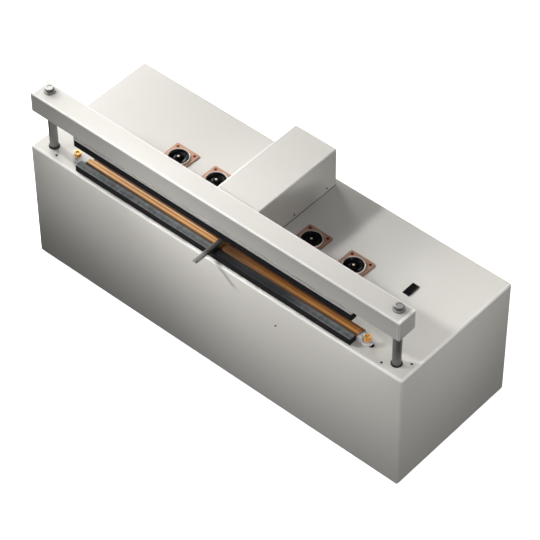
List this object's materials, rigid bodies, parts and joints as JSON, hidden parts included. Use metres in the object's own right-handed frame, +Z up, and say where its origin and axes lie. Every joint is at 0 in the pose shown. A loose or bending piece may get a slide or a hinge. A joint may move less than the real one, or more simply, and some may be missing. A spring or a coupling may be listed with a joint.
{
  "type": "nozzle vacuum sealer",
  "caption": "Bench-top vacuum sealer with a retracting nozzle: powder-coated cabinet, square-tube jaw on guide rods, foam pads, film-covered seal bar, square-plate dials and a rocker switch.",
  "frame": {"origin": "on the bench, under the middle of the cabinet's footprint and of the whole machine's box", "axes": "+X along the jaw to the operator's right, +Y towards the back, +Z up; the operator stands at -Y"},
  "size_m": [1.016, 0.43, 0.4879],
  "materials": {
    "housing_paint": "light grey-white textured powder coat",
    "base_steel": "plain zinc-plated sheet",
    "foot_rubber": "matt moulded rubber",
    "cover_paint": "light grey-white textured powder coat",
    "dial_plate_metal": "copper-pink satin plate",
    "dial_body_metal": "satin rim, faintly pink",
    "knob_black": "glossy black",
    "switch_black": "satin black",
    "rocker_black": "satin black",
    "bushing_black": "satin black",
    "screw_dark": "dark screw heads",
    "cylinder_metal": "satin drawn tube",
    "lower_pad_foam": "closed-cell foam, blue-black, worn grey on top",
    "upper_pad_foam": "closed-cell foam, blue-black",
    "backing_rubber": "silicone strip",
    "bar_metal": "extruded bar",
    "ribbon_metal": "flat resistance ribbon",
    "woven_film": "brown-orange coated glass cloth, slightly shiny",
    "terminal_white": "milky white moulding",
    "post_brass": "turned brass",
    "nut_brass": "turned brass, bright",
    "guide_metal": "plain plate and ground rails",
    "nozzle_cylinder_metal": "satin tube",
    "carriage_metal": "machined block",
    "nozzle_steel": "flattened stainless tube",
    "generator_metal": "machined body",
    "manifold_metal": "machined bar and valve bodies",
    "transformer_metal": "varnished laminations and coil",
    "air_inlet_brass": "turned plug",
    "gland_black": "moulded gland",
    "beam_paint": "light grey-white textured powder coat",
    "cap_paint": "light grey-white textured powder coat",
    "carrier_metal": "light grey-white powder coat",
    "rod_steel": "ground and hard-chromed",
    "bolt_steel": "zinc-plated bolt",
    "washer_steel": "zinc-plated washer"
  },
  "bodies": {
    "cabinet": {"housing_shell": "housing_paint", "base_plate": "base_steel", "foot_front_left": "foot_rubber", "foot_front_right": "foot_rubber", "foot_rear_left": "foot_rubber", "foot_rear_right": "foot_rubber", "nozzle_cover": "cover_paint", "dial_plate_left_outer": "dial_plate_metal", "dial_plate_left_inner": "dial_plate_metal", "dial_plate_right_inner": "dial_plate_metal", "dial_plate_right_outer": "dial_plate_metal", "dial_body_left_outer": "dial_body_metal", "dial_body_left_inner": "dial_body_metal", "dial_body_right_inner": "dial_body_metal", "dial_body_right_outer": "dial_body_metal", "switch_frame": "switch_black", "rod_bushing_left": "bushing_black", "rod_bushing_right": "bushing_black", "bushing_screw_left_front": "screw_dark", "bushing_screw_left_rear": "screw_dark", "bushing_screw_right_front": "screw_dark", "bushing_screw_right_rear": "screw_dark", "jaw_cylinder_left": "cylinder_metal", "jaw_cylinder_right": "cylinder_metal", "lower_pad": "lower_pad_foam", "seal_bar": "bar_metal", "heating_ribbon": "ribbon_metal", "seal_cover": "woven_film", "terminal_block_left": "terminal_white", "terminal_block_right": "terminal_white", "terminal_post_left": "post_brass", "terminal_post_right": "post_brass", "terminal_nut_left": "nut_brass", "terminal_nut_right": "nut_brass", "nozzle_guide": "guide_metal", "nozzle_cylinder": "nozzle_cylinder_metal", "vacuum_generator": "generator_metal", "valve_manifold": "manifold_metal", "transformer": "transformer_metal", "air_inlet": "air_inlet_brass", "cord_gland": "gland_black"},
    "jaw": {"jaw_beam": "beam_paint", "beam_end_cap_left": "cap_paint", "beam_end_cap_right": "cap_paint", "pad_carrier": "carrier_metal", "upper_pad": "upper_pad_foam", "seal_backing": "backing_rubber", "piston_rod_left": "rod_steel", "piston_rod_right": "rod_steel", "rod_bolt_left": "bolt_steel", "rod_bolt_right": "bolt_steel", "bolt_washer_left": "washer_steel", "bolt_washer_right": "washer_steel"},
    "nozzle": {"nozzle_tube": "nozzle_steel", "nozzle_carriage": "carriage_metal"},
    "knob_left_outer": {"dial_knob_left_outer": "knob_black"},
    "knob_left_inner": {"dial_knob_left_inner": "knob_black"},
    "knob_right_inner": {"dial_knob_right_inner": "knob_black"},
    "knob_right_outer": {"dial_knob_right_outer": "knob_black"},
    "rocker": {"power_rocker": "rocker_black"}
  },
  "joints": [
    {"name": "jaw_slide", "type": "slide", "parent": "cabinet", "child": "jaw", "axis": [0, 0, 1], "range_m": [-0.0535, 0], "stiffness_N_per_m": 1000, "springref_m": 0.09},
    {"name": "nozzle_slide", "type": "slide", "parent": "cabinet", "child": "nozzle", "axis": [0, 1, 0], "range_m": [0, 0.098]},
    {"name": "dial_left_outer_turn", "type": "hinge", "parent": "cabinet", "child": "knob_left_outer", "pos_m": [-0.245, 0.002, 0.3223], "axis": [0, 0, 1], "range_deg": [-150, 150]},
    {"name": "dial_left_inner_turn", "type": "hinge", "parent": "cabinet", "child": "knob_left_inner", "pos_m": [-0.138, 0.002, 0.3223], "axis": [0, 0, 1], "range_deg": [-150, 150]},
    {"name": "dial_right_inner_turn", "type": "hinge", "parent": "cabinet", "child": "knob_right_inner", "pos_m": [0.124, 0.002, 0.3223], "axis": [0, 0, 1], "range_deg": [-150, 150]},
    {"name": "dial_right_outer_turn", "type": "hinge", "parent": "cabinet", "child": "knob_right_outer", "pos_m": [0.237, 0.002, 0.3223], "axis": [0, 0, 1], "range_deg": [-150, 150]},
    {"name": "rocker_tilt", "type": "hinge", "parent": "cabinet", "child": "rocker", "pos_m": [0.3655, 0.028, 0.319], "axis": [1, 0, 0], "range_deg": [0, 16]}
  ]
}
